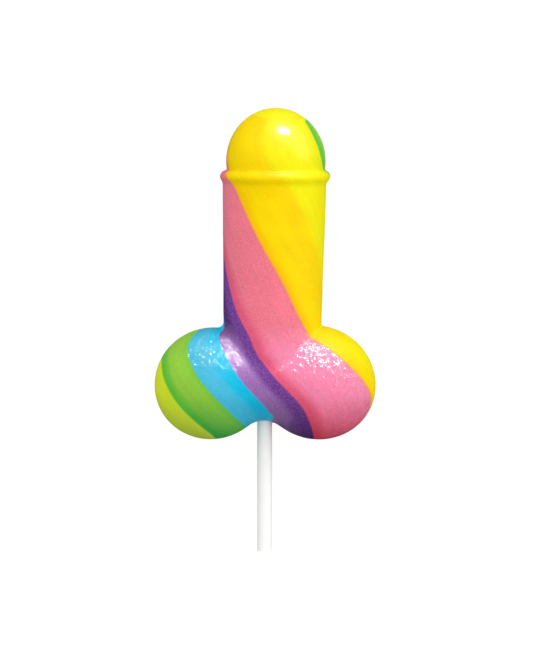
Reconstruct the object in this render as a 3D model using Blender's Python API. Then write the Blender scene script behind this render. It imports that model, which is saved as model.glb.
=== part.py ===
"""Hard-candy novelty lollipop on a paper stick, lying on its back.

The candy is one poured piece: a domed tip, a neck groove, a rolled collar, a shaft that tapers a little, and two
round lobes at its foot. The stick is pushed into a blind socket between the lobes.

Frame: +Y runs from the stick to the tip, +Z faces up from the surface that the candy lies on, and the origin is the
middle of the whole lollipop on that surface.
"""

import math

import bmesh
import bpy
from mathutils import Vector

MM = 0.001

# Whole lollipop
LENGTH = 139.9 * MM
AXIS_HEIGHT = 17.28 * MM           # mid-plane of the candy above the surface it lies on
FIT_GAP = 0.3 * MM                 # clearance kept between stick and candy

# Dome, neck groove and collar, each with its place along Y
DOME_RADIUS = 15.77 * MM
DOME_LENGTH = 16.85 * MM
DOME_CENTRE_Y = LENGTH / 2 - DOME_LENGTH
NECK_RADIUS = 15.62 * MM
NECK_Y = 50.7 * MM
COLLAR_RADIUS = 17.5 * MM
COLLAR_HALF_LENGTH = 2.4 * MM
COLLAR_Y = NECK_Y - COLLAR_HALF_LENGTH

# Shaft
SHAFT_TOP_Y = COLLAR_Y - COLLAR_HALF_LENGTH
SHAFT_TOP_RADIUS = 16.43 * MM
SHAFT_FOOT_Y = 3.0 * MM
SHAFT_FOOT_RADIUS = 15.53 * MM
SHAFT_END_Y = -5.0 * MM            # where its lower end starts to round off, so that it sinks into the lobes
SHAFT_END_LENGTH = 22.0 * MM

# The candy leans a little: the X of its centre line at four places along Y
LEAN = (
    (SHAFT_FOOT_Y, 2.36 * MM),
    (SHAFT_TOP_Y, 2.98 * MM),
    (COLLAR_Y, 3.2 * MM),
    (DOME_CENTRE_Y, 3.44 * MM),
)

# Lobes: centre on the mid-plane, half lengths along and across the long axis, half depth, and the long axis's tilt
LOBE_HALF_DEPTH = 17.6 * MM
LEFT_LOBE = {
    "centre": (-16.69 * MM, -16.97 * MM),
    "half_sizes": (18.37 * MM, 17.63 * MM, LOBE_HALF_DEPTH),
    "tilt": math.radians(21.4),
}
RIGHT_LOBE = {
    "centre": (16.11 * MM, -16.69 * MM),
    "half_sizes": (19.11 * MM, 17.92 * MM, LOBE_HALF_DEPTH),
    "tilt": math.radians(-24.0),
}
# The poured mass that fills the valley between the lobes
BRIDGE = {
    "centre": (0.6 * MM, -14.6 * MM),
    "half_sizes": (18.0 * MM, 11.8 * MM, 15.2 * MM),
    "tilt": 0.0,
}
LOBE_BLEND = 7.0 * MM              # how wide the lobes melt into each other
BRIDGE_BLEND = 5.5 * MM            # and into the mass between them
SHAFT_BLEND = 1.4 * MM             # the tight crease where the shaft meets them

# Stick and its socket
STICK_RADIUS = 2.38 * MM
STICK_X = -0.1 * MM
STICK_SIDES = 32
STICK_CHAMFER = 0.15 * MM
STICK_END_Y = -LENGTH / 2
SOCKET_RADIUS = STICK_RADIUS + FIT_GAP
SOCKET_TOP_Y = -3.4 * MM

# Rings of points that the candy's surface is lofted through
SIDES = 64
DOME_RINGS = 11
COLLAR_RINGS = 8
SHAFT_RINGS = 5
FOOT_RINGS = 7
LOBE_RINGS = 30
SOCKET_RINGS = 3
FOOT_START_Y = 21.0 * MM           # above this the rings are flat circles
HEART = (0.1 * MM, -14.3 * MM)     # every point of the lobes can be seen from here
HEART_TOP_ANGLE = math.radians(50.0)
FAR = 45.0 * MM                    # farther from the heart than any point of the lobes
BISECTIONS = 30

CANDY_COLOUR = (0.87, 0.23, 0.32, 1.0)
PAPER_COLOUR = (0.86, 0.86, 0.83, 1.0)


def mix(start, end, share):
    """The value that lies this share of the way from start to end."""
    return start + (end - start) * share


def lean_x(y):
    """X of the candy's centre line at this Y."""
    if y <= LEAN[0][0]:
        return LEAN[0][1]
    for (low_y, low_x), (high_y, high_x) in zip(LEAN, LEAN[1:]):
        if y <= high_y:
            return mix(low_x, high_x, (y - low_y) / (high_y - low_y))
    return LEAN[-1][1]


def shaft_radius(y):
    """Radius of the tapering shaft at this Y, which falls to nothing over its rounded lower end."""
    share = max(y - SHAFT_FOOT_Y, 0) / (SHAFT_TOP_Y - SHAFT_FOOT_Y)
    sunk = min(max(SHAFT_END_Y - y, 0) / SHAFT_END_LENGTH, 1)
    return mix(SHAFT_FOOT_RADIUS, SHAFT_TOP_RADIUS, share) * math.sqrt(1 - sunk**2)


def collar_radius(turn):
    """Y and radius on the rolled collar, for a turn from 0 at the shaft to pi at the neck."""
    y = COLLAR_Y - COLLAR_HALF_LENGTH * math.cos(turn)
    base = mix(SHAFT_TOP_RADIUS, NECK_RADIUS, (y - SHAFT_TOP_Y) / (NECK_Y - SHAFT_TOP_Y))
    middle = (SHAFT_TOP_RADIUS + NECK_RADIUS) / 2
    return y, base + (COLLAR_RADIUS - middle) * math.sin(turn)


def ellipsoid_distance(point, body):
    """About how far a point, given from the mid-plane, lies outside an ellipsoid (negative inside)."""
    across = point[0] - body["centre"][0]
    along = point[1] - body["centre"][1]
    cosine, sine = math.cos(body["tilt"]), math.sin(body["tilt"])
    local = (across * cosine + along * sine, along * cosine - across * sine, point[2])
    near = math.sqrt(sum((value / half) ** 2 for value, half in zip(local, body["half_sizes"])))
    steep = math.sqrt(sum((value / half ** 2) ** 2 for value, half in zip(local, body["half_sizes"])))
    return near * (near - 1) / steep if steep > 0 else -min(body["half_sizes"])


def shaft_distance(point):
    """About how far a point lies outside the shaft."""
    return math.hypot(point[0] - lean_x(point[1]), point[2]) - shaft_radius(point[1])


def melt(first, second, blend):
    """The distance to two bodies that melt into each other over the width of the blend."""
    overlap = max(blend - abs(first - second), 0) / blend
    return min(first, second) - overlap * overlap * blend / 4


def candy_distance(point):
    """About how far a point, given from the mid-plane, lies outside the lower half of the candy."""
    lobes = melt(ellipsoid_distance(point, LEFT_LOBE), ellipsoid_distance(point, RIGHT_LOBE), LOBE_BLEND)
    mass = melt(lobes, ellipsoid_distance(point, BRIDGE), BRIDGE_BLEND)
    return melt(mass, shaft_distance(point), SHAFT_BLEND)


def surface_point(start, direction):
    """The point of the candy's surface on a ray, which leaves a place inside the candy."""
    near, far = 0.0, FAR
    for _ in range(BISECTIONS):
        middle = (near + far) / 2
        if candy_distance([s + middle * d for s, d in zip(start, direction)]) < 0:
            near = middle
        else:
            far = middle
    return [s + near * d for s, d in zip(start, direction)]


def around():
    """Sine and cosine of the angle from +Z towards +X, once for each side of a ring."""
    for side in range(SIDES):
        angle = 2 * math.pi * side / SIDES
        yield math.sin(angle), math.cos(angle)


def circle_ring(y, radius, centre_x=None):
    """A flat ring of points about the candy's centre line."""
    middle = lean_x(y) if centre_x is None else centre_x
    return [(middle + radius * sine, y, radius * cosine) for sine, cosine in around()]


def ray_ring(start, climb):
    """A ring of surface points on rays that leave start and climb towards +Y by this angle."""
    level, rise = math.cos(climb), math.sin(climb)
    return [surface_point(start, (level * sine, rise, level * cosine)) for sine, cosine in around()]


def dome_rings():
    """Rings from just under the tip down to the neck groove."""
    lowest = math.asin((NECK_Y - DOME_CENTRE_Y) / DOME_LENGTH)
    for step in range(1, DOME_RINGS + 1):
        angle = mix(math.pi / 2, lowest, step / DOME_RINGS)
        radius = DOME_RADIUS * math.cos(angle)
        if step == DOME_RINGS:
            radius = NECK_RADIUS
        yield circle_ring(DOME_CENTRE_Y + DOME_LENGTH * math.sin(angle), radius)


def collar_and_shaft_rings():
    """Rings from the neck groove over the collar and down the round part of the shaft."""
    for step in range(1, COLLAR_RINGS + 1):
        y, radius = collar_radius(math.pi * (1 - step / COLLAR_RINGS))
        yield circle_ring(y, radius)
    for step in range(1, SHAFT_RINGS + 1):
        y = mix(SHAFT_TOP_Y, FOOT_START_Y, step / SHAFT_RINGS)
        yield circle_ring(y, shaft_radius(y))


def foot_rings():
    """Rings at the shaft's foot, which tilt more and more until they fan out from the heart of the lobes."""
    for step in range(1, FOOT_RINGS + 1):
        share = step / FOOT_RINGS
        start = (
            mix(lean_x(FOOT_START_Y), HEART[0], share),
            mix(FOOT_START_Y, HEART[1], share),
            0.0,
        )
        yield ray_ring(start, math.atan(share * math.tan(HEART_TOP_ANGLE)))


def lobe_rings():
    """Rings that fan round the lobes, from the shaft's crease down to the edge of the stick's socket."""
    start = (HEART[0], HEART[1], 0.0)
    mouth_angle = -math.pi / 2 + math.atan(1.6 * SOCKET_RADIUS / abs(SOCKET_MOUTH_Y - HEART[1]))
    for step in range(1, LOBE_RINGS + 1):
        yield ray_ring(start, mix(HEART_TOP_ANGLE, mouth_angle, step / LOBE_RINGS))


def socket_rings():
    """Rings from the socket's mouth, where the wall follows the candy's surface, up to its closed end."""
    mouth = []
    for x, _, z in circle_ring(0.0, SOCKET_RADIUS, STICK_X):
        mouth.append(surface_point((x, HEART[1], z), (0.0, -1.0, 0.0)))
    yield mouth
    for step in range(1, SOCKET_RINGS + 1):
        y = mix(SOCKET_MOUTH_Y, SOCKET_TOP_Y, step / SOCKET_RINGS)
        yield circle_ring(y, SOCKET_RADIUS, STICK_X)


def loft(name, rings, first_point, last_point):
    """A closed mesh through rings of points, drawn to a point at each end."""
    mesh = bmesh.new()
    loops = [[mesh.verts.new(point) for point in ring] for ring in rings]
    for upper, lower in zip(loops, loops[1:]):
        for side in range(len(upper)):
            after = (side + 1) % len(upper)
            mesh.faces.new((upper[side], lower[side], lower[after], upper[after]))
    for tip, ring in ((first_point, loops[0]), (last_point, loops[-1])):
        end = mesh.verts.new(tip)
        for side in range(len(ring)):
            mesh.faces.new((end, ring[side], ring[(side + 1) % len(ring)]))
    bmesh.ops.recalc_face_normals(mesh, faces=mesh.faces)
    data = bpy.data.meshes.new(name)
    mesh.to_mesh(data)
    mesh.free()
    return data


def rest_flats(data):
    """Lifts a mesh onto the surface at z = 0 and cuts the small flats that it rests on."""
    mesh = bmesh.new()
    mesh.from_mesh(data)
    bmesh.ops.translate(mesh, verts=mesh.verts, vec=Vector((0, 0, AXIS_HEIGHT)))
    everything = list(mesh.verts) + list(mesh.edges) + list(mesh.faces)
    bmesh.ops.bisect_plane(mesh, geom=everything, plane_co=(0, 0, 0), plane_no=(0, 0, 1), clear_inner=True)
    open_edges = [edge for edge in mesh.edges if edge.is_boundary]
    bmesh.ops.holes_fill(mesh, edges=open_edges, sides=0)
    bmesh.ops.recalc_face_normals(mesh, faces=mesh.faces)
    mesh.to_mesh(data)
    mesh.free()


def finish(name, colour, roughness):
    """A plain Principled material."""
    material = bpy.data.materials.new(name)
    material.use_nodes = True
    shader = material.node_tree.nodes["Principled BSDF"]
    shader.inputs["Base Color"].default_value = colour
    shader.inputs["Roughness"].default_value = roughness
    shader.inputs["Metallic"].default_value = 0.0
    return material


def add_object(name, data, material):
    """Puts a mesh into the scene as one named, smoothly shaded piece."""
    piece = bpy.data.objects.new(name, data)
    bpy.context.scene.collection.objects.link(piece)
    data.materials.append(material)
    data.shade_smooth()
    data.set_sharp_from_angle(angle=math.radians(35))
    return piece


def make_candy():
    """The whole candy, from the tip of the dome to the closed end of the stick's socket."""
    rings = [*dome_rings(), *collar_and_shaft_rings(), *foot_rings(), *lobe_rings(), *socket_rings()]
    tip = (lean_x(LENGTH / 2), LENGTH / 2, 0.0)
    socket_end = (STICK_X, SOCKET_TOP_Y, 0.0)
    data = loft("candy", rings, tip, socket_end)
    rest_flats(data)
    return add_object("candy", data, finish("hard_candy", CANDY_COLOUR, 0.22))


def make_stick():
    """The paper stick, from its cut end to just short of the end of the socket."""
    top_y = SOCKET_TOP_Y - FIT_GAP
    mesh = bmesh.new()
    bmesh.ops.create_cone(
        mesh,
        cap_ends=True,
        segments=STICK_SIDES,
        radius1=STICK_RADIUS,
        radius2=STICK_RADIUS,
        depth=top_y - STICK_END_Y,
    )
    rims = [edge for edge in mesh.edges if abs(edge.verts[0].co.z - edge.verts[1].co.z) < STICK_CHAMFER]
    bmesh.ops.bevel(mesh, geom=rims, offset=STICK_CHAMFER, segments=1, affect="EDGES")
    data = bpy.data.meshes.new("stick")
    mesh.to_mesh(data)
    mesh.free()
    stick = add_object("stick", data, finish("rolled_paper", PAPER_COLOUR, 0.75))
    stick.rotation_euler = (math.pi / 2, 0, 0)
    stick.location = (STICK_X, (top_y + STICK_END_Y) / 2, AXIS_HEIGHT)
    return stick


for leftover in list(bpy.data.objects):
    bpy.data.objects.remove(leftover)

# The socket's mouth lies where its axis leaves the candy between the lobes
SOCKET_MOUTH_Y = surface_point((STICK_X, HEART[1], 0.0), (0.0, -1.0, 0.0))[1]

make_candy()
make_stick()
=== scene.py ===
"""The looks of a rainbow hard-candy lollipop on a rolled paper stick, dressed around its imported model.

The candy is poured and pulled as one piece: round masses are modelled, joined, remeshed and melted into
each other, and six colours of pulled sugar run round it like the strands of a rope. The stick is one sheet of
paper, rolled up.
"""

from __future__ import annotations

import logging
import math
from collections.abc import Iterator
from contextlib import contextmanager
from dataclasses import dataclass, field
from enum import Enum

import bpy
import numpy as np
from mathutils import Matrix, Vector, noise


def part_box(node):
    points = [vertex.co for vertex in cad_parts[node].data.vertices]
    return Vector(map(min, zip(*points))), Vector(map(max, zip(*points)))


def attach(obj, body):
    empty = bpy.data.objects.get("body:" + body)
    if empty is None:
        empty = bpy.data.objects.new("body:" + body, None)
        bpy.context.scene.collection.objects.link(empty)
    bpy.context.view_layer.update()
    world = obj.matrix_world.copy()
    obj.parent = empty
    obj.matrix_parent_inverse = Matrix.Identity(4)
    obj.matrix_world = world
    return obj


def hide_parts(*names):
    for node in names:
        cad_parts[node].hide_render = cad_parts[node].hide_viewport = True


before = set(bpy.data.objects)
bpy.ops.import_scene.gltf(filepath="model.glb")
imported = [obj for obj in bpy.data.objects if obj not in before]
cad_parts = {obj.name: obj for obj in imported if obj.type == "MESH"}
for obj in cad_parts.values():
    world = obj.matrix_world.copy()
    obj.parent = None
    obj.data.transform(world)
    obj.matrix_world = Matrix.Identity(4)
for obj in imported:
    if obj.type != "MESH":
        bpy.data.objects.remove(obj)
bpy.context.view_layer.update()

log = logging.getLogger("lollipop")

MM = 0.001
BODY = "root"
AXIS_HEIGHT = 17.28 * MM
TOUCHING = 0.001 * MM
NOISE_RANGE = (0.3, 0.7)

Points = np.ndarray
Values = np.ndarray
Colour = tuple[float, float, float]


class Sugar(Enum):
    """The pulled sugars, and lit and shaded copies of them: how each shows in daylight, from 0 to 255, and
    how glossy it is on the lobes. The paler mauve and blush pink hold a painted sheen, and the darker copies
    used on the shaft's purple and at the foot of the lobes hold painted shade.
    """

    ORANGE = 244, 150, 62, 0.3
    AMBER = 248, 196, 0
    YELLOW = 254, 216, 0
    SUN = 250, 230, 0
    LEMON = 246, 234, 0
    LEMON_EDGE = 230, 232, 10
    LIME = 214, 234, 44, 0.1
    # Painted shade: a darker lime for the foot of the lobes.
    OLIVE = 176, 206, 64
    MOSS = 100, 196, 58, 0.2
    LEAF = 146, 204, 62, 0.3
    GRASS = 126, 202, 48, 0.3
    # Painted shade: a darker green for the foot of the lobes.
    GREEN = 28, 162, 72
    # A lighter blue beside the green: partly the strand's own colour, partly a painted sheen.
    SKY = 68, 189, 220, 0.5
    BLUE = 0, 194, 230, 0.25
    # Painted shade: darker blues for the foot of the lobes.
    TEAL = 0, 166, 204
    NAVY = 0, 142, 194
    # Painted sheen: a paler, lit purple that shows on the lobes only.
    MAUVE = 162, 110, 184, 1.0
    PURPLE = 116, 54, 152, 1.0
    # Painted shade: a darker purple for the shaft, whose purple side lies in shade.
    GRAPE = 84, 22, 118
    # Painted shade: the darkest purple, for the foot of the lobes.
    PLUM = 56, 8, 84
    # A darker pink beside the purple: partly where the two sugars mix, partly painted shade.
    ROSE = 230, 90, 124, 0.6
    PINK = 240, 120, 140
    # Painted sheen: a paler pink for the lobes.
    BLUSH = 248, 134, 172, 1.0
    # Painted shade: a darker pink for the foot of the lobes.
    CRIMSON = 204, 46, 72

    def __init__(self, red: int, green: int, blue: int, gloss: float = 0.0) -> None:
        """Takes a sugar's values.

        Args:
            red: How much red it shows.
            green: How much green.
            blue: How much blue.
            gloss: How glossy it is, from 0 to 1.
        """
        self.colour = (red, green, blue)
        self.gloss = gloss


def linear(colour: Colour) -> tuple[float, float, float, float]:
    """A colour from 0 to 255 as the linear colour that shaders take.

    Args:
        colour: Red, green and blue as they show on a screen.

    Returns:
        The linear red, green and blue, with full opacity.
    """
    shares = [value / 255 for value in colour]
    red, green, blue = [s / 12.92 if s <= 0.04045 else ((s + 0.055) / 1.055) ** 2.4 for s in shares]
    return red, green, blue, 1.0


def select_only(piece: bpy.types.Object) -> None:
    """Makes one piece the active and only selected object.

    Args:
        piece: The object to select.
    """
    for other in bpy.context.selected_objects:
        other.select_set(False)
    bpy.context.view_layer.objects.active = piece
    piece.select_set(True)


@contextmanager
def editing(piece: bpy.types.Object) -> Iterator[None]:
    """Opens a piece in edit mode with all of it selected, and leaves edit mode at the end.

    Args:
        piece: The mesh object to edit.

    Yields:
        Nothing: the work is done by operators.
    """
    select_only(piece)
    bpy.ops.object.mode_set(mode="EDIT")
    bpy.ops.mesh.select_all(action="SELECT")
    yield
    bpy.ops.object.mode_set(mode="OBJECT")


def apply_modifier(piece: bpy.types.Object, kind: str, **settings: object) -> None:
    """Adds a modifier, gives it its settings and applies it.

    Args:
        piece: The object to change.
        kind: Blender's name for the kind of modifier.
        **settings: The modifier's own settings.
    """
    select_only(piece)
    modifier = piece.modifiers.new(kind.title(), kind)
    for name, value in settings.items():
        setattr(modifier, name, value)
    bpy.ops.object.modifier_apply(modifier=modifier.name)


def place_in_mesh(piece: bpy.types.Object, name: str) -> None:
    """Names a piece and moves its place, turn and scale into its mesh.

    Args:
        piece: The object to finish.
        name: The name of the piece.
    """
    select_only(piece)
    bpy.ops.object.transform_apply(location=True, rotation=True, scale=True)
    piece.name = name
    piece.data.name = name


def read_points(piece: bpy.types.Object) -> Points:
    """The places of a mesh's vertices.

    Args:
        piece: The mesh object to read.

    Returns:
        The places, one row each.
    """
    flat = np.empty(len(piece.data.vertices) * 3)
    piece.data.vertices.foreach_get("co", flat)
    return flat.reshape(-1, 3)


def write_points(piece: bpy.types.Object, points: Points) -> None:
    """Moves a mesh's vertices to new places."""
    piece.data.vertices.foreach_set("co", points.ravel())
    piece.data.update()


def melt(first: Values, second: Values, blend: Values | float) -> Values:
    """The distance to two masses that melt into each other.

    Args:
        first: Distances to the one mass.
        second: Distances to the other.
        blend: Over how wide a seam they melt.

    Returns:
        The distances to the two as one mass.
    """
    overlap = np.maximum(blend - np.abs(first - second), 0) / blend
    return np.minimum(first, second) - overlap**2 * blend / 4


def smooth_step(value: Values, start: float, end: float) -> Values:
    """A soft step from 0 at start to 1 at end."""
    share = np.clip((value - start) / (end - start), 0, 1)
    return share * share * (3 - 2 * share)


@dataclass(frozen=True)
class RoundMass:
    """A round mass of sugar, centred on the mid-plane of the candy."""

    name: str
    centre: tuple[float, float]
    half_sizes: tuple[float, float, float]
    tilt: float = 0.0
    segments: int = 64
    rings: int = 32

    def model(self) -> bpy.types.Object:
        """Models the mass from a ball that is stretched and turned.

        Returns:
            The new object.
        """
        middle = (*self.centre, AXIS_HEIGHT)
        across, along, deep = self.half_sizes
        bpy.ops.mesh.primitive_uv_sphere_add(
            segments=self.segments,
            ring_count=self.rings,
            radius=across,
            location=middle,
        )
        piece = bpy.context.object
        with editing(piece):
            bpy.ops.transform.resize(value=(1, along / across, deep / across), center_override=middle)
            bpy.ops.transform.rotate(value=-self.tilt, orient_axis="Z", center_override=middle)
        place_in_mesh(piece, self.name)
        return piece

    def distance(self, points: Points) -> Values:
        """About how far points lie outside the mass.

        Args:
            points: Places in metres.

        Returns:
            One distance for each point, negative inside.
        """
        offset = points - np.array([*self.centre, AXIS_HEIGHT])
        cosine, sine = math.cos(self.tilt), math.sin(self.tilt)
        local = np.column_stack(
            [
                offset[:, 0] * cosine + offset[:, 1] * sine,
                offset[:, 1] * cosine - offset[:, 0] * sine,
                offset[:, 2],
            ]
        )
        sizes = np.array(self.half_sizes)
        near = np.linalg.norm(local / sizes, axis=1)
        steep = np.linalg.norm(local / sizes**2, axis=1) + 1e-9
        return near * (near - 1) / steep


@dataclass(frozen=True)
class Shaft:
    """The shaft: a leaning, tapering rod whose lower end sinks into the lobes.

    Each station is a place along Y, the centre's X and the radius.
    """

    name: str = "shaft_form"
    stations: tuple[tuple[float, float, float], ...] = (
        (3.0 * MM, 2.36 * MM, 15.53 * MM),
        (45.9 * MM, 2.98 * MM, 16.43 * MM),
        (49.0 * MM, 3.2 * MM, 15.9 * MM),
    )
    end_start_y: float = -5.0 * MM
    end_length: float = 22.0 * MM
    end_steps: int = 6
    end_angle: float = -0.45 * math.pi
    sides: int = 96

    def centre_x(self, y: Values) -> Values:
        """X of the leaning centre line at places along Y."""
        return np.interp(y, [s[0] for s in self.stations], [s[1] for s in self.stations])

    def radius(self, y: Values) -> Values:
        """Radius of the rod, which falls to nothing over the rounded lower end.

        Args:
            y: Places along Y, in metres.

        Returns:
            The radius at each place.
        """
        wall = np.interp(y, [s[0] for s in self.stations], [s[2] for s in self.stations])
        sunk = np.clip((self.end_start_y - y) / self.end_length, 0, 1)
        return wall * np.sqrt(1 - sunk**2)

    def model(self) -> bpy.types.Object:
        """Models the rod from a disc in its lower end, pulled up from place to place.

        Returns:
            The new object.
        """
        bends = np.sin(np.linspace(self.end_angle, 0, self.end_steps))
        places = [self.end_start_y + self.end_length * bend for bend in bends]
        places += [station[0] for station in self.stations]
        y = places[0]
        x, radius = float(self.centre_x(y)), float(self.radius(y))
        bpy.ops.mesh.primitive_circle_add(
            vertices=self.sides,
            radius=radius,
            fill_type="NGON",
            location=(x, y, AXIS_HEIGHT),
            rotation=(math.pi / 2, 0, 0),
        )
        piece = bpy.context.object
        with editing(piece):
            for next_y in places[1:]:
                next_x, next_radius = float(self.centre_x(next_y)), float(self.radius(next_y))
                step = (next_x - x, next_y - y, 0)
                bpy.ops.mesh.extrude_region_move(TRANSFORM_OT_translate={"value": step})
                bpy.ops.transform.resize(
                    value=(next_radius / radius,) * 3,
                    center_override=(next_x, next_y, AXIS_HEIGHT),
                )
                x, y, radius = next_x, next_y, next_radius
            bpy.ops.mesh.select_all(action="SELECT")
            bpy.ops.mesh.normals_make_consistent(inside=False)
        place_in_mesh(piece, self.name)
        return piece

    def distance(self, points: Points) -> Values:
        """About how far points lie outside the rod.

        Args:
            points: Places in metres.

        Returns:
            One distance for each point, negative inside.
        """
        along = points[:, 1]
        out = np.hypot(points[:, 0] - self.centre_x(along), points[:, 2] - AXIS_HEIGHT)
        above = along - self.stations[-1][0]
        return np.maximum(out - self.radius(along), above)


@dataclass(frozen=True)
class Collar:
    """The rolled collar under the dome."""

    name: str = "collar_form"
    centre: tuple[float, float] = (3.2 * MM, 48.3 * MM)
    crest_radius: float = 17.5 * MM
    roll_half_height: float = 2.35 * MM
    roll_half_length: float = 2.05 * MM
    sides: int = 96
    roll_sides: int = 24

    @property
    def ring_radius(self) -> float:
        """Radius of the circle that the roll runs round."""
        return self.crest_radius - self.roll_half_height

    def model(self) -> bpy.types.Object:
        """Models the roll from a ring that is stretched a little along the candy.

        Returns:
            The new object.
        """
        middle = (*self.centre, AXIS_HEIGHT)
        bpy.ops.mesh.primitive_torus_add(
            location=middle,
            rotation=(math.pi / 2, 0, 0),
            major_segments=self.sides,
            minor_segments=self.roll_sides,
            major_radius=self.ring_radius,
            minor_radius=self.roll_half_height,
        )
        piece = bpy.context.object
        with editing(piece):
            stretch = self.roll_half_length / self.roll_half_height
            bpy.ops.transform.resize(value=(1, stretch, 1), center_override=middle)
        place_in_mesh(piece, self.name)
        return piece

    def distance(self, points: Points) -> Values:
        """About how far points lie outside the roll.

        Args:
            points: Places in metres.

        Returns:
            One distance for each point, negative inside.
        """
        out = np.hypot(points[:, 0] - self.centre[0], points[:, 2] - AXIS_HEIGHT) - self.ring_radius
        along = (points[:, 1] - self.centre[1]) * self.roll_half_height / self.roll_half_length
        return np.hypot(out, along) - self.roll_half_height


@dataclass(frozen=True)
class Station:
    """A place along the candy, and how the rope of sugar lies there, in degrees.

    In the lobes, the strands at either side have slid out by `spread`, and `skew` turns both sides one way.
    """

    y: float
    turn: float
    spread: float = 120.5
    skew: float = 40.5


@dataclass(frozen=True)
class Twist:
    """How the strands of pulled sugar run round the candy.

    Up the shaft they lie round its centre line, and at the tip the yellow strand closes over the others.
    Where the rope is pressed out into the lobes they fan out over the front, and run over the edge to the
    back. In the valley between the lobes the rope has turned a little less. A pair of places is where a
    change starts and ends.
    """

    stations: tuple[Station, ...] = (
        Station(-35.0 * MM, 153.5, 162.0, -27.0),
        Station(-29.0 * MM, 134.5, 139.0, -12.5),
        Station(-23.0 * MM, 116.0, 124.5, 4.5),
        Station(-16.0 * MM, 92.0, 127.5, 21.0),
        Station(-9.0 * MM, 71.0, 132.5, 33.0),
        Station(-2.0 * MM, 50.0),
        Station(5.0 * MM, 31.0),
        Station(16.0 * MM, 10.5),
        Station(28.0 * MM, -15.0),
        Station(41.0 * MM, -40.0),
        Station(45.0 * MM, -49.0),
        Station(47.0 * MM, -53.5),
        Station(50.2 * MM, -72.5),
        Station(54.0 * MM, -82.0),
        Station(58.0 * MM, -83.0),
        Station(62.5 * MM, -89.0),
        Station(70.0 * MM, -72.5),
    )
    softness: float = 3.0 * MM
    soft_places: int = 7
    lobe_aspect: float = 1.875
    half_width: float = 35.0 * MM
    edge_height: float = 8.5 * MM
    wrap_depth: float = 8.0 * MM
    foot_from_y: tuple[float, float] = (-2.0 * MM, -30.0 * MM)
    shaft_end_y: float = 0.8 * MM
    lobe_start_y: float = -2.4 * MM
    front_reach: float = 6.0 * MM
    front_width: tuple[float, float] = (10.0 * MM, 20.0 * MM)
    beside_shaft: tuple[float, float] = (15.8 * MM, 18.5 * MM)
    lobes_below: tuple[float, float] = (-16.0 * MM, -6.0 * MM)
    valley_x: float = 4.6 * MM
    valley_width: tuple[float, float] = (3.0 * MM, 8.0 * MM)
    valley_to_y: tuple[float, float] = (-30.0 * MM, -26.5 * MM)
    valley_turn: float = 11.0
    tip_from_y: tuple[float, float] = (65.4 * MM, 68.6 * MM)
    tip_angle: float = 82.0

    def along_stations(self, y: Values, name: str) -> Values:
        """A value of the stations, smoothed along the candy.

        Args:
            y: Places along Y, in metres.
            name: Which value of the stations.

        Returns:
            The value at each place.
        """
        ends = [station.y for station in self.stations]
        values = [getattr(station, name) for station in self.stations]
        offsets = np.linspace(-self.softness, self.softness, self.soft_places)
        return np.mean([np.interp(y + offset, ends, values) for offset in offsets], axis=0)

    def side_share(self, across: Values, along: Values, up: Values) -> Values:
        """How far to the side of the lobes points lie, from -1 at the left edge to 1 at the right.

        Args:
            across: Places along X.
            along: Places along Y.
            up: Heights above the mid-plane.

        Returns:
            The share for each point.
        """
        lean = across / self.lobe_aspect
        fanned = lean / np.hypot(lean, np.hypot(up, self.edge_height))
        straight = np.clip(across / self.half_width, -1, 1)
        foot = smooth_step(along, *self.foot_from_y)
        return (1 - foot) * fanned + foot * straight

    def lobe_angle(self, across: Values, along: Values, up: Values) -> Values:
        """Where points would lie in the rope's cross-section, before it turns, if all were on the lobes.

        Args:
            across: Places along X.
            along: Places along Y.
            up: Heights above the mid-plane.

        Returns:
            One angle for each point, in degrees.
        """
        side = self.side_share(across, along, up)
        spread, skew = self.along_stations(along, "spread"), self.along_stations(along, "skew")
        front = spread * side
        back = np.where(side < 0, -180, 180) - (180 - spread) * side
        wrap = smooth_step(up, -self.wrap_depth, 0)
        return back * (1 - wrap) + front * wrap - skew * side**2

    def lobe_share(self, across: Values, along: Values, beside: Values) -> Values:
        """How far the strands follow the lobes rather than the shaft.

        Args:
            across: Places along X.
            along: Places along Y.
            beside: How far the points lie to the side of the shaft's centre line.

        Returns:
            The share for each point, from 0 on the shaft to 1 on the lobes.
        """
        middle = 1 - smooth_step(np.abs(across), *self.front_width)
        below = 1 - smooth_step(along, self.lobe_start_y - self.front_reach * middle, self.shaft_end_y)
        outside = smooth_step(beside, *self.beside_shaft) * smooth_step(-along, *self.lobes_below)
        return np.maximum(below, outside)

    def turn(self, across: Values, along: Values) -> Values:
        """How far the rope has turned.

        Args:
            across: Places along X.
            along: Places along Y.

        Returns:
            One angle for each point, in degrees.
        """
        valley = 1 - smooth_step(np.abs(across - self.valley_x), *self.valley_width)
        valley = valley * (1 - smooth_step(along, *self.valley_to_y))
        return self.along_stations(along, "turn") - self.valley_turn * valley

    def strand_angle(self, points: Points, shaft: Shaft) -> Values:
        """Where points of the surface lie in the rope's cross-section.

        Args:
            points: Places on the candy's surface, in metres.
            shaft: The shaft, whose centre line the rope follows.

        Returns:
            One angle for each point, in degrees, from the edge between pink and yellow.
        """
        across, along, up = points[:, 0], points[:, 1], points[:, 2] - AXIS_HEIGHT
        aside = across - shaft.centre_x(along)
        round_angle = np.degrees(np.arctan2(aside, up))
        lobe_angle = self.lobe_angle(across, along, up)
        share = self.lobe_share(across, along, np.abs(aside))
        angle = round_angle * (1 - share) + lobe_angle * share - self.turn(across, along)
        closed = smooth_step(along, *self.tip_from_y)
        return angle * (1 - closed) + self.tip_angle * closed


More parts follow.
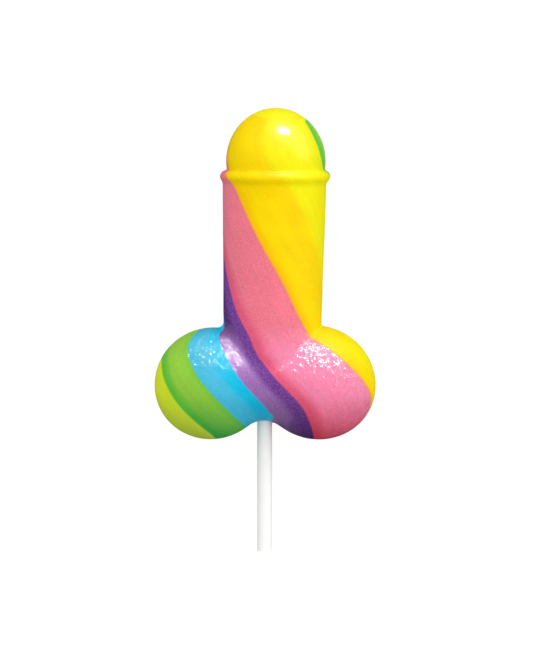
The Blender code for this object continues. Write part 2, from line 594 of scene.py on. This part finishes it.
@dataclass
class Candy:
    """The candy: its masses, the melt between them, its uneven surface and its strands."""

    shaft: Shaft = field(default_factory=Shaft)
    collar: Collar = field(default_factory=Collar)
    dome: RoundMass = RoundMass("dome_form", (3.44 * MM, 53.1 * MM), (15.77 * MM, 16.82 * MM, 15.77 * MM))
    left_lobe: RoundMass = RoundMass(
        "left_lobe_form",
        (-16.69 * MM, -16.97 * MM),
        (18.37 * MM, 17.63 * MM, 17.6 * MM),
        math.radians(21.4),
    )
    right_lobe: RoundMass = RoundMass(
        "right_lobe_form",
        (16.11 * MM, -16.69 * MM),
        (19.11 * MM, 17.92 * MM, 17.6 * MM),
        math.radians(-24.0),
    )
    bridge: RoundMass = RoundMass("bridge_form", (0.6 * MM, -14.6 * MM), (18.0 * MM, 11.8 * MM, 15.2 * MM))
    twist: Twist = field(default_factory=Twist)
    lobe_blend: float = 7.0 * MM
    bridge_blend: float = 5.5 * MM
    shaft_blend: tuple[float, float] = (2.3 * MM, 0.7 * MM)
    shaft_blend_from_x: tuple[float, float] = (-6.0 * MM, 4.0 * MM)
    dome_blend: float = 0.35 * MM
    collar_blend: float = 1.2 * MM
    grain_size: float = 0.47 * MM
    probe: float = 0.02 * MM
    melt_passes: int = 5
    longest_move: float = 1.0 * MM
    least_steepness: float = 0.2
    skin: float = 0.03 * MM
    lump_depth: float = 0.14 * MM
    lump_size: float = 13.0 * MM
    pull_depth: float = 0.03 * MM
    pull_width: float = 1.6 * MM
    pull_length: float = 10.0 * MM
    rope_radius: float = 16.0 * MM

    def distance(self, points: Points) -> Values:
        """About how far points lie outside the whole candy, its masses melted together.

        Args:
            points: Places in metres.

        Returns:
            One distance for each point, negative inside.
        """
        lobes = melt(self.left_lobe.distance(points), self.right_lobe.distance(points), self.lobe_blend)
        foot = melt(lobes, self.bridge.distance(points), self.bridge_blend)
        rod = melt(self.shaft.distance(points), self.collar.distance(points), self.collar_blend)
        head = melt(rod, self.dome.distance(points), self.dome_blend)
        left, right = self.shaft_blend
        rightness = smooth_step(points[:, 0], *self.shaft_blend_from_x)
        return melt(foot, head, left + (right - left) * rightness)

    def slope(self, points: Points) -> Points:
        """Which way, and how fast, the distance grows at points.

        Args:
            points: Places in metres.

        Returns:
            One gradient for each point.
        """
        here = self.distance(points)
        there = [self.distance(points + self.probe * axis) for axis in np.eye(3)]
        return np.column_stack([(distance - here) / self.probe for distance in there])

    def join_masses(self) -> bpy.types.Object:
        """Models every mass, joins them into one closed form and remeshes it evenly.

        Returns:
            The joined object.
        """
        piece = self.shaft.model()
        for mass in (self.dome, self.collar, self.left_lobe, self.right_lobe, self.bridge):
            other = mass.model()
            apply_modifier(piece, "BOOLEAN", operation="UNION", solver="EXACT", object=other)
            bpy.data.objects.remove(other)
        apply_modifier(piece, "REMESH", mode="VOXEL", voxel_size=self.grain_size)
        return piece

    def melt_together(self, piece: bpy.types.Object) -> None:
        """Draws the remeshed surface onto the melted masses, which rounds every seam between them.

        Args:
            piece: The joined candy.
        """
        points = read_points(piece)
        for _ in range(self.melt_passes):
            slope = self.slope(points)
            steep = np.maximum((slope**2).sum(axis=1), self.least_steepness)
            depth = (self.distance(points) + self.skin) / steep
            points -= slope * np.clip(depth, -self.longest_move, self.longest_move)[:, None]
        write_points(piece, points)

    def rope_places(self, points: Points) -> Points:
        """Places of surface points along and across the untwisted rope of sugar.

        Args:
            points: Places on the candy's surface, in metres.

        Returns:
            For each point, its two places across the rope and its place along it, in metres.
        """
        angle = np.radians(self.twist.strand_angle(points, self.shaft))
        across = self.rope_radius * np.sin(angle)
        deep = self.rope_radius * np.cos(angle)
        return np.column_stack([across, deep, points[:, 1]])

    def roughen(self, piece: bpy.types.Object) -> None:
        """Presses shallow hollows, and the lines that pulling leaves along the strands, into the surface.

        Args:
            piece: The melted candy.
        """
        points = read_points(piece)
        slope = self.slope(points)
        outward = slope / np.linalg.norm(slope, axis=1)[:, None]
        rope = self.rope_places(points)
        rope_scale = np.array([1 / self.pull_width, 1 / self.pull_width, 1 / self.pull_length])
        lumps = np.array([noise.noise(Vector(point / self.lump_size)) for point in points])
        pulls = np.array([noise.noise(Vector(place)) for place in rope * rope_scale])
        depth = self.lump_depth * (0.5 + 0.5 * lumps) + self.pull_depth * (0.5 + 0.5 * pulls)
        write_points(piece, points - outward * depth[:, None])

    def cut_rests(self, piece: bpy.types.Object) -> None:
        """Cuts the small flats that the candy lies on.

        Args:
            piece: The candy.
        """
        with editing(piece):
            bpy.ops.mesh.bisect(
                plane_co=(0, 0, 0),
                plane_no=(0, 0, 1),
                use_fill=True,
                clear_inner=True,
                threshold=TOUCHING,
            )

    def lay_strands(self, piece: bpy.types.Object) -> None:
        """Stores the place of each vertex in the rope, which the finish reads its colours from.

        Args:
            piece: The finished form.
        """
        rope = self.rope_places(read_points(piece))
        layer = piece.data.attributes.new(HardCandyFinish.ROPE, "FLOAT_VECTOR", "POINT")
        layer.data.foreach_set("vector", rope.ravel().astype(np.float32))

    def build(self) -> bpy.types.Object:
        """Builds and dresses the candy.

        Returns:
            The finished piece.
        """
        piece = self.join_masses()
        self.melt_together(piece)
        self.roughen(piece)
        self.cut_rests(piece)
        self.lay_strands(piece)
        place_in_mesh(piece, "candy_body")
        piece.data.shade_smooth()
        piece.data.materials.clear()
        piece.data.materials.append(HardCandyFinish().material())
        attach(piece, BODY)
        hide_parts("candy")
        return piece


@dataclass(frozen=True)
class Stroke:
    """A stop of colour in the rope: where it lies, in degrees from the edge between pink and yellow."""

    angle: float
    sugar: Sugar


@dataclass(frozen=True)
class Mottle:
    """An uneven pattern: how fine it is, how many finer layers it has, and its stretch along each axis."""

    scale: float
    detail: float
    stretch: tuple[float, float, float] = (1, 1, 1)


class NodeBench:
    """Adds and links the shader nodes of one tree."""

    def __init__(self, tree: bpy.types.NodeTree) -> None:
        """Starts on a tree.

        Args:
            tree: The node tree to work on.
        """
        self.tree = tree

    def add(
        self,
        kind: str,
        inputs: dict[str | int, object] | None = None,
        **settings: object,
    ) -> bpy.types.Node:
        """Adds a node, and sets or links its inputs.

        Args:
            kind: Blender's name for the kind of node.
            inputs: For each input, by name or number, its value or the socket that feeds it.
            **settings: The node's own settings.

        Returns:
            The new node.
        """
        node = self.tree.nodes.new(kind)
        for name, value in settings.items():
            setattr(node, name, value)
        self.feed(node, inputs or {})
        return node

    def feed(self, node: bpy.types.Node, inputs: dict[str | int, object]) -> None:
        """Sets or links the inputs of a node.

        Args:
            node: The node.
            inputs: For each input, by name or number, its value or the socket that feeds it.
        """
        for key, value in inputs.items():
            if isinstance(value, bpy.types.NodeSocket):
                self.tree.links.new(value, node.inputs[key])
            else:
                node.inputs[key].default_value = value

    def math(self, operation: str, *values: object) -> bpy.types.NodeSocket:
        """Adds a Math node.

        Args:
            operation: What it works out.
            *values: Its numbers or the sockets that feed it.

        Returns:
            The node's output.
        """
        return self.add("ShaderNodeMath", dict(enumerate(values)), operation=operation).outputs[0]

    def noise(self, place: object, mottle: Mottle) -> bpy.types.NodeSocket:
        """Adds a Noise Texture node.

        Args:
            place: The socket that gives the place.
            mottle: The pattern to make.

        Returns:
            The noise, about 0.5.
        """
        stretched = self.stretch(place, mottle.stretch)
        inputs = {"Vector": stretched, "Scale": mottle.scale, "Detail": mottle.detail}
        return self.add("ShaderNodeTexNoise", inputs).outputs[0]

    def stretch(self, place: object, scale: tuple[float, float, float]) -> bpy.types.NodeSocket:
        """Stretches the place that a texture reads.

        Args:
            place: The socket that gives the place.
            scale: By how much, along each axis.

        Returns:
            The stretched place.
        """
        return self.add("ShaderNodeMapping", {"Vector": place, "Scale": scale}).outputs[0]

    def fit(self, value: object, low: float, high: float, start: float, end: float) -> bpy.types.NodeSocket:
        """Maps a value from one range to another.

        Args:
            value: The socket that gives the value.
            low: The value that becomes start.
            high: The value that becomes end.
            start: The lowest result.
            end: The highest result.

        Returns:
            The mapped value.
        """
        return self.add("ShaderNodeMapRange", {0: value, 1: low, 2: high, 3: start, 4: end}).outputs[0]

    def vary(self, value: object, low: float, high: float) -> bpy.types.NodeSocket:
        """Maps a noise from its usual range to another.

        Args:
            value: The socket that gives the noise.
            low: The lowest result.
            high: The highest result.

        Returns:
            The mapped value.
        """
        return self.fit(value, *NOISE_RANGE, low, high)

    def blend(self, share: object, first: object, second: object) -> bpy.types.NodeSocket:
        """Mixes two colours.

        Args:
            share: How much of the second, from 0 to 1.
            first: The colour or socket at 0.
            second: The colour or socket at 1.

        Returns:
            The mixed colour.
        """
        return self.add("ShaderNodeMix", {0: share, 6: first, 7: second}, data_type="RGBA").outputs[2]


def new_material(name: str) -> tuple[bpy.types.Material, NodeBench, bpy.types.Node]:
    """A new material with an empty Principled shader.

    Args:
        name: The material's name.

    Returns:
        The material, a bench for its nodes, and the shader.
    """
    material = bpy.data.materials.new(name)
    material.use_nodes = True
    return material, NodeBench(material.node_tree), material.node_tree.nodes["Principled BSDF"]


def grain_group() -> bpy.types.NodeTree:
    """The grain that sugar and paper share: a fine, uneven tooth.

    Returns:
        The node group, made once.
    """
    found = bpy.data.node_groups.get("surface_grain")
    if found:
        return found
    group = bpy.data.node_groups.new("surface_grain", "ShaderNodeTree")
    group.interface.new_socket("Vector", in_out="INPUT", socket_type="NodeSocketVector")
    group.interface.new_socket("Scale", in_out="INPUT", socket_type="NodeSocketFloat")
    group.interface.new_socket("Tooth", in_out="OUTPUT", socket_type="NodeSocketFloat")
    bench = NodeBench(group)
    place = bench.add("NodeGroupInput").outputs
    inputs = {"Vector": place["Vector"], "Scale": place["Scale"], "Detail": 4.0, "Roughness": 0.65}
    tooth = bench.add("ShaderNodeTexNoise", inputs).outputs[0]
    bench.add("NodeGroupOutput", {"Tooth": tooth})
    return group


@dataclass(frozen=True)
class HardCandyFinish:
    """Glossy pulled sugar in six colours, brushed with fine lines along the strands, with painted shade on
    the shaft's purple and at the foot of the lobes, painted sheen on the lobes, and painted sparkle where the
    sugar is glossy.
    """

    ROPE = "rope"
    strokes: tuple[Stroke, ...] = (
        Stroke(-30.0, Sugar.PINK),
        Stroke(-1.6, Sugar.PINK),
        Stroke(0.0, Sugar.ORANGE),
        Stroke(1.8, Sugar.AMBER),
        Stroke(14.0, Sugar.YELLOW),
        Stroke(60.0, Sugar.YELLOW),
        Stroke(76.0, Sugar.LEMON),
        Stroke(120.0, Sugar.LEMON),
        Stroke(144.2, Sugar.LEMON_EDGE),
        Stroke(146.6, Sugar.MOSS),
        Stroke(152.0, Sugar.MOSS),
        Stroke(163.0, Sugar.LEAF),
        Stroke(186.0, Sugar.LEAF),
        Stroke(195.0, Sugar.GRASS),
        Stroke(197.0, Sugar.SKY),
        Stroke(216.0, Sugar.SKY),
        Stroke(228.0, Sugar.BLUE),
        Stroke(241.0, Sugar.BLUE),
        # The mauve stops hold a painted sheen on the lobes; the shaft and the foot swap them for darker
        # purples with painted shade.
        Stroke(242.8, Sugar.MAUVE),
        Stroke(261.0, Sugar.MAUVE),
        Stroke(271.0, Sugar.PURPLE),
        Stroke(283.6, Sugar.PURPLE),
        Stroke(285.2, Sugar.ROSE),
        Stroke(291.0, Sugar.ROSE),
        Stroke(306.0, Sugar.PINK),
    )
    ramp_start: float = 110.0
    # Painted shade: on the shaft the mauve strand turns to a darker purple, where it lies on the shaded side.
    shaft_shaded_sugars: tuple[tuple[Sugar, Sugar], ...] = ((Sugar.MAUVE, Sugar.GRAPE),)
    # On the lobes the yellows turn greener, and the pink turns to a paler pink that holds a painted sheen.
    lobe_sugars_and_sheen: tuple[tuple[Sugar, Sugar], ...] = (
        (Sugar.AMBER, Sugar.YELLOW),
        (Sugar.YELLOW, Sugar.SUN),
        (Sugar.LEMON, Sugar.LIME),
        (Sugar.LEMON_EDGE, Sugar.LIME),
        (Sugar.PINK, Sugar.BLUSH),
    )
    # Painted shade: towards the bottom of the lobes each strand turns to a darker copy of itself, where their
    # undersides lie in shade.
    foot_shaded_sugars: tuple[tuple[Sugar, Sugar], ...] = (
        (Sugar.YELLOW, Sugar.SUN),
        (Sugar.LEMON, Sugar.OLIVE),
        (Sugar.LEMON_EDGE, Sugar.OLIVE),
        (Sugar.MOSS, Sugar.GREEN),
        (Sugar.LEAF, Sugar.GREEN),
        (Sugar.GRASS, Sugar.GREEN),
        (Sugar.SKY, Sugar.TEAL),
        (Sugar.BLUE, Sugar.NAVY),
        (Sugar.MAUVE, Sugar.PLUM),
        (Sugar.PURPLE, Sugar.PLUM),
        (Sugar.ROSE, Sugar.CRIMSON),
        (Sugar.PINK, Sugar.CRIMSON),
    )
    lobe_from_y: tuple[float, float] = (3.0 * MM, -6.0 * MM)
    # Where the painted shade of the foot starts, and where it is full.
    foot_from_y: tuple[float, float] = (-20.0 * MM, -36.5 * MM)
    sway: Mottle = Mottle(110.0, 3.0, (1, 1, 0.35))
    sway_share: float = 0.004
    streaks: Mottle = Mottle(800.0, 4.0, (1, 1, 0.07))
    streak_shade: float = 0.03
    blotches: Mottle = Mottle(120.0, 3.0)
    blotch_shade: float = 0.05
    grain_scale: float = 2200.0
    grain_shade: float = 0.05
    grain_depth: float = 0.05 * MM
    grain_strength: float = 0.5
    # Painted sparkle: pale specks that lighten the colour where the sugar is glossy.
    painted_sparkle: Mottle = Mottle(2300.0, 2.0)
    painted_sparkle_range: tuple[float, float] = (0.42, 0.72)
    painted_sparkle_share: float = 0.10
    brushing: Mottle = Mottle(1150.0, 2.0, (1, 1, 0.4))
    roughness: tuple[float, float] = (0.44, 0.58)
    specks: Mottle = Mottle(820.0, 3.0, (1, 0.55, 1))
    speck_range: tuple[float, float] = (0.44, 0.60)
    speck_cover: float = 0.85
    speck_depth: float = 0.95 * MM
    shaft_polish: float = 0.12
    dome_polish: float = 0.1
    foot_dullness: float = 0.7
    polish_from_y: tuple[float, float] = (6.0 * MM, -3.0 * MM)
    dome_from_y: tuple[float, float] = (49.5 * MM, 52.0 * MM)
    coat_roughness: float = 0.15
    coat_ior: float = 1.7
    ior: float = 1.5
    specular_level: float = 0.04
    translucency: float = 0.5
    scatter: tuple[float, float, float] = (1.0, 0.5, 0.4)
    scatter_depth: float = 1.4 * MM

    def rope_share(self, bench: NodeBench, rope: object) -> bpy.types.NodeSocket:
        """Works out where in the rope each place lies, from 0 to 1 round it, a little uneven.

        Args:
            bench: The bench of the material's nodes.
            rope: The socket that gives the place on the rope of sugar.

        Returns:
            The share, which the ramps are read at.
        """
        sway = bench.math("MULTIPLY_ADD", bench.noise(rope, self.sway), 2 * self.sway_share, -self.sway_share)
        place = bench.add("ShaderNodeSeparateXYZ", {0: rope}).outputs
        turn = bench.math("ARCTAN2", place[0], place[1])
        share = bench.math("MULTIPLY_ADD", turn, 1 / (2 * math.pi), 1 - self.ramp_start / 360)
        return bench.math("FRACT", bench.math("ADD", share, sway))

    def paint(self, bench: NodeBench, rope: object, spots: object) -> tuple[object, object, object]:
        """Paints the strands, with painted shade on the shaft's purple and towards the foot of the lobes,
        painted sheen on the lobes' pink and purple, and painted sparkle where the sugar is glossy.

        Args:
            bench: The bench of the material's nodes.
            rope: The socket that gives the place on the rope of sugar.
            spots: The socket that gives the place in space.

        Returns:
            The sockets of the colour, of the polish, and of how far the surface belongs to the lobes.
        """
        share = self.rope_share(bench, rope)
        shaft, lobe, foot = [bench.add("ShaderNodeValToRGB", {0: share}) for _ in range(3)]
        self.fill_ramp(shaft.color_ramp, self.shaft_shaded_sugars)
        self.fill_ramp(lobe.color_ramp, self.lobe_sugars_and_sheen)
        self.fill_ramp(foot.color_ramp, self.foot_shaded_sugars)
        along = bench.add("ShaderNodeSeparateXYZ", {0: rope}).outputs[2]
        upper = bench.fit(along, *self.lobe_from_y, 0.0, 1.0)
        # lower carries the painted shade of the foot, and also dulls the gloss there.
        lower = bench.fit(along, *self.foot_from_y, 0.0, 1.0)
        sugar = bench.blend(lower, bench.blend(upper, shaft.outputs[0], lobe.outputs[0]), foot.outputs[0])
        streaks = bench.vary(bench.noise(rope, self.streaks), -self.streak_shade, self.streak_shade)
        blotches = bench.vary(bench.noise(rope, self.blotches), 1 - self.blotch_shade, 1 + self.blotch_shade)
        shade = bench.math("ADD", streaks, blotches)
        colour = bench.add("ShaderNodeHueSaturation", {"Color": sugar, "Value": shade}).outputs[0]
        shine = bench.math("MULTIPLY_ADD", lower, -self.foot_dullness, 1.0)
        gloss = bench.math("MULTIPLY", lobe.outputs["Alpha"], shine)
        # Painted sparkle: specks blended towards white, weighted by the gloss.
        sparkle = bench.fit(bench.noise(spots, self.painted_sparkle), *self.painted_sparkle_range, 0.0, self.painted_sparkle_share)
        colour = bench.blend(bench.math("MULTIPLY", sparkle, gloss), colour, (1, 1, 1, 1))
        lobes = bench.fit(along, *self.polish_from_y, self.shaft_polish, 1.0)
        dome = bench.fit(along, *self.dome_from_y, 0.0, self.dome_polish)
        return colour, bench.math("MULTIPLY_ADD", gloss, lobes, dome), lobes

    def fill_ramp(self, ramp: bpy.types.ColorRamp, swaps: tuple[tuple[Sugar, Sugar], ...]) -> None:
        """Sets the stops of a ramp that the rope's colours are read from.

        Args:
            ramp: The ramp, which starts in the middle of a colour so that its ends match.
            swaps: Pairs of a sugar and the colour that takes its place; several of these are copies with
                painted shade or painted sheen.
        """
        changed = dict(swaps)
        stops = []
        for stroke in self.strokes:
            sugar = changed.get(stroke.sugar, stroke.sugar)
            position = ((stroke.angle - self.ramp_start) % 360) / 360
            stops.append((position, (*linear(sugar.colour)[:3], sugar.gloss)))
        stops.sort()
        while len(ramp.elements) > 1:
            ramp.elements.remove(ramp.elements[-1])
        ramp.elements[0].position, ramp.elements[0].color = stops[0]
        for position, colour in stops[1:]:
            ramp.elements.new(position).color = colour

    def material(self) -> bpy.types.Material:
        """Makes the material.

        Returns:
            The finished material.
        """
        material, bench, shader = new_material("pulled_sugar")
        rope = bench.add("ShaderNodeAttribute", attribute_name=self.ROPE).outputs["Vector"]
        spots = bench.add("ShaderNodeTexCoord").outputs["Object"]
        grain = bench.add("ShaderNodeGroup", node_tree=grain_group())
        bench.feed(grain, {"Vector": spots, "Scale": self.grain_scale})
        tooth = grain.outputs["Tooth"]
        specks = bench.noise(spots, self.specks)
        paint, polish, lobes = self.paint(bench, rope, spots)
        whole = bench.math("SUBTRACT", 1.0, bench.math("MULTIPLY", lobes, self.speck_cover))
        coat = bench.math("MULTIPLY", polish, bench.fit(specks, *self.speck_range, whole, 1.0))
        inputs = {"Height": tooth, "Distance": self.grain_depth, "Strength": self.grain_strength}
        normal = bench.add("ShaderNodeBump", inputs).outputs[0]
        height = bench.math("MULTIPLY", specks, lobes)
        inputs = {"Height": height, "Distance": self.speck_depth, "Strength": 1.0}
        coat_normal = bench.add("ShaderNodeBump", inputs).outputs[0]
        lift = bench.vary(tooth, 1 - self.grain_shade, 1 + self.grain_shade)
        colour = bench.add("ShaderNodeHueSaturation", {"Color": paint, "Value": lift}).outputs[0]
        bench.feed(
            shader,
            {
                "Base Color": colour,
                "Roughness": bench.vary(bench.noise(rope, self.brushing), *self.roughness),
                "Normal": normal,
                "Coat Normal": coat_normal,
                "Coat Weight": coat,
                "Coat Roughness": self.coat_roughness,
                "Coat IOR": self.coat_ior,
                "IOR": self.ior,
                "Specular IOR Level": self.specular_level,
                "Subsurface Weight": self.translucency,
                "Subsurface Radius": self.scatter,
                "Subsurface Scale": self.scatter_depth,
            },
        )
        return material


@dataclass(frozen=True)
class RolledPaperFinish:
    """Smooth white paper with faint fibres and faint clouds of cream."""

    white: Colour = (253, 253, 251)
    cream: Colour = (246, 244, 238)
    roughness: float = 0.6
    clouds: Mottle = Mottle(300.0, 3.0)
    cloud_range: tuple[float, float] = (0.4, 0.8)
    cloud_share: float = 0.5
    fibre_scale: float = 2400.0
    fibre_stretch: tuple[float, float, float] = (1, 0.12, 1)
    fibre_depth: float = 0.03 * MM
    fibre_strength: float = 0.3

    def material(self) -> bpy.types.Material:
        """Makes the material.

        Returns:
            The finished material.
        """
        material, bench, shader = new_material("rolled_paper")
        place = bench.add("ShaderNodeTexCoord").outputs["Object"]
        fibres = bench.add("ShaderNodeGroup", node_tree=grain_group())
        bench.feed(fibres, {"Vector": bench.stretch(place, self.fibre_stretch), "Scale": self.fibre_scale})
        clouds = bench.fit(bench.noise(place, self.clouds), *self.cloud_range, 0.0, self.cloud_share)
        colour = bench.blend(clouds, linear(self.white), linear(self.cream))
        tooth = fibres.outputs["Tooth"]
        inputs = {"Height": tooth, "Distance": self.fibre_depth, "Strength": self.fibre_strength}
        normal = bench.add("ShaderNodeBump", inputs).outputs[0]
        bench.feed(shader, {"Base Color": colour, "Normal": normal, "Roughness": self.roughness})
        return material


@dataclass(frozen=True)
class PaperStick:
    """The stick: one long sheet of paper, rolled up tight and cut straight."""

    centre_x: float = -0.1 * MM
    radius: float = 2.38 * MM
    core_radius: float = 0.25 * MM
    paper: float = 0.1 * MM
    pitch: float = 0.118 * MM
    steps_a_turn: int = 40
    seam_angle: float = math.radians(215)
    crease_angle: float = math.radians(40)

    def build(self) -> bpy.types.Object:
        """Builds and dresses the stick.

        Returns:
            The finished piece.
        """
        low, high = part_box("stick")
        outer = self.radius - self.paper / 2
        turns = (outer - self.core_radius) / self.pitch
        count = int(turns * self.steps_a_turn)
        curve = bpy.data.curves.new("roll", "CURVE")
        curve.dimensions = "2D"
        curve.extrude = (high.y - low.y) / 2
        spline = curve.splines.new("POLY")
        spline.points.add(count)
        for step, point in enumerate(spline.points):
            share = step / count
            radius = outer + (self.core_radius - outer) * share
            angle = self.seam_angle - 2 * math.pi * turns * share
            point.co = (radius * math.cos(angle), radius * math.sin(angle), 0, 1)
        piece = bpy.data.objects.new("roll", curve)
        bpy.context.scene.collection.objects.link(piece)
        select_only(piece)
        bpy.ops.object.convert(target="MESH")
        piece.rotation_euler = (math.pi / 2, 0, 0)
        piece.location = (self.centre_x, (low.y + high.y) / 2, AXIS_HEIGHT)
        apply_modifier(piece, "SOLIDIFY", thickness=self.paper, offset=0.0)
        place_in_mesh(piece, "paper_stick")
        with editing(piece):
            bpy.ops.mesh.remove_doubles(threshold=TOUCHING)
            bpy.ops.mesh.normals_make_consistent(inside=False)
        select_only(piece)
        bpy.ops.object.shade_smooth_by_angle(angle=self.crease_angle)
        piece.data.materials.clear()
        piece.data.materials.append(RolledPaperFinish().material())
        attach(piece, BODY)
        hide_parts("stick")
        return piece


@dataclass(frozen=True)
class Softbox:
    """A soft area light that faces the candy and shows only as its mirrored shine.

    Its direction is in degrees, its distance and size in metres, and its power in watts.
    """

    name: str
    azimuth: float
    elevation: float
    distance: float
    size: tuple[float, float]
    power: float

    def build(self, target: Vector) -> None:
        """Hangs the light and turns it to the candy.

        Args:
            target: What it faces.
        """
        data = bpy.data.lights.new(self.name, "AREA")
        data.shape = "RECTANGLE"
        data.size, data.size_y = self.size
        data.energy = self.power
        lamp = bpy.data.objects.new(self.name, data)
        bpy.context.scene.collection.objects.link(lamp)
        turn, climb = math.radians(self.azimuth), math.radians(self.elevation)
        away = Vector((math.cos(turn) * math.cos(climb), math.sin(turn) * math.cos(climb), math.sin(climb)))
        lamp.location = target + away * self.distance
        lamp.rotation_euler = away.to_track_quat("Z", "Y").to_euler()
        lamp.visible_diffuse = False


@dataclass(frozen=True)
class Studio:
    """The pale floor, the soft lights, and the camera that looks down on the candy."""

    lights: tuple[Softbox, ...] = (
        Softbox("glint_softbox", 76.0, 18.0, 0.5, (0.14, 0.10), 11.0),
        Softbox("sheen_softbox", 51.0, 18.0, 0.6, (0.97, 0.46), 7.5),
    )
    room_light: tuple[float, float] = (0.50, 1.50)
    room_from: tuple[float, float] = (-0.75, 0.55)
    room_side: float = 0.35
    room_mirrored: float = 0.04
    floor_size: float = 3.0
    floor_glow: float = 0.93
    floor_seen: float = 0.12
    floor_bounce: float = 0.45
    floor_mirrored: float = 0.03
    floor_roughness: float = 0.9
    metres_a_pixel: float = 0.315 * MM
    frame_height: int = 655
    view_centre: tuple[float, float] = (4.71 * MM, 0.63 * MM)
    lens: float = 500.0
    sensor: float = 36.0
    tilt: float = math.radians(-3.3)
    clip: tuple[float, float] = (0.01, 10.0)

    def lay_floor(self) -> None:
        """Lays the floor, which looks evenly pale to the camera and throws little light back up."""
        bpy.ops.mesh.primitive_plane_add(size=self.floor_size, location=(0, 0, 0))
        floor = bpy.context.object
        floor.name = "floor"
        material, bench, shader = new_material("pale_floor")
        path = bench.add("ShaderNodeLightPath").outputs
        seen = path["Is Camera Ray"]
        bounce = bench.fit(path["Is Glossy Ray"], 0.0, 1.0, self.floor_bounce, self.floor_mirrored)
        bench.feed(
            shader,
            {
                "Base Color": bench.fit(seen, 0.0, 1.0, bounce, self.floor_seen),
                "Emission Color": (1, 1, 1, 1),
                "Emission Strength": bench.fit(seen, 0.0, 1.0, 0.0, self.floor_glow),
                "Roughness": self.floor_roughness,
                "Specular IOR Level": 0.0,
            },
        )
        floor.data.materials.append(material)

    def fill_room(self) -> None:
        """Fills the room with soft light from the far end, which glossy surfaces mirror only faintly."""
        world = bpy.data.worlds.new("room")
        bpy.context.scene.world = world
        world.use_nodes = True
        bench = NodeBench(world.node_tree)
        away = bench.add("ShaderNodeTexCoord").outputs["Generated"]
        towards = bench.add("ShaderNodeSeparateXYZ", {0: away}).outputs
        far = bench.math("MULTIPLY_ADD", towards[0], self.room_side, towards[1])
        mirrored = bench.add("ShaderNodeLightPath").outputs["Is Glossy Ray"]
        light = bench.fit(far, *self.room_from, *self.room_light)
        strength = bench.fit(mirrored, 0.0, 1.0, light, self.room_mirrored)
        bench.feed(world.node_tree.nodes["Background"], {"Color": (1, 1, 1, 1), "Strength": strength})

    def place_camera(self) -> None:
        """Sets the camera above the candy, a little towards its tip, at the photograph's scale."""
        data = bpy.data.cameras.new("camera")
        data.lens, data.sensor_width = self.lens, self.sensor
        data.clip_start, data.clip_end = self.clip
        camera = bpy.data.objects.new("camera", data)
        bpy.context.scene.collection.objects.link(camera)
        away = self.frame_height * self.metres_a_pixel * self.lens / self.sensor
        back = Vector((0, -math.sin(self.tilt), math.cos(self.tilt)))
        camera.location = Vector((*self.view_centre, AXIS_HEIGHT)) + back * away
        camera.rotation_euler = (self.tilt, 0, 0)
        bpy.context.scene.camera = camera

    def build(self) -> None:
        """Builds the studio."""
        self.lay_floor()
        self.fill_room()
        self.place_camera()
        target = Vector((0, 0, AXIS_HEIGHT))
        for light in self.lights:
            light.build(target)
        bpy.context.scene.view_settings.view_transform = "Standard"


def main() -> None:
    """Builds the lollipop and its studio."""
    logging.basicConfig(level=logging.INFO, format="%(name)s: %(message)s")
    for piece in (Candy().build(), PaperStick().build()):
        log.info("%s has %d faces", piece.name, len(piece.data.polygons))
    Studio().build()
    log.info("the studio is ready")


if __name__ == "__main__":
    main()
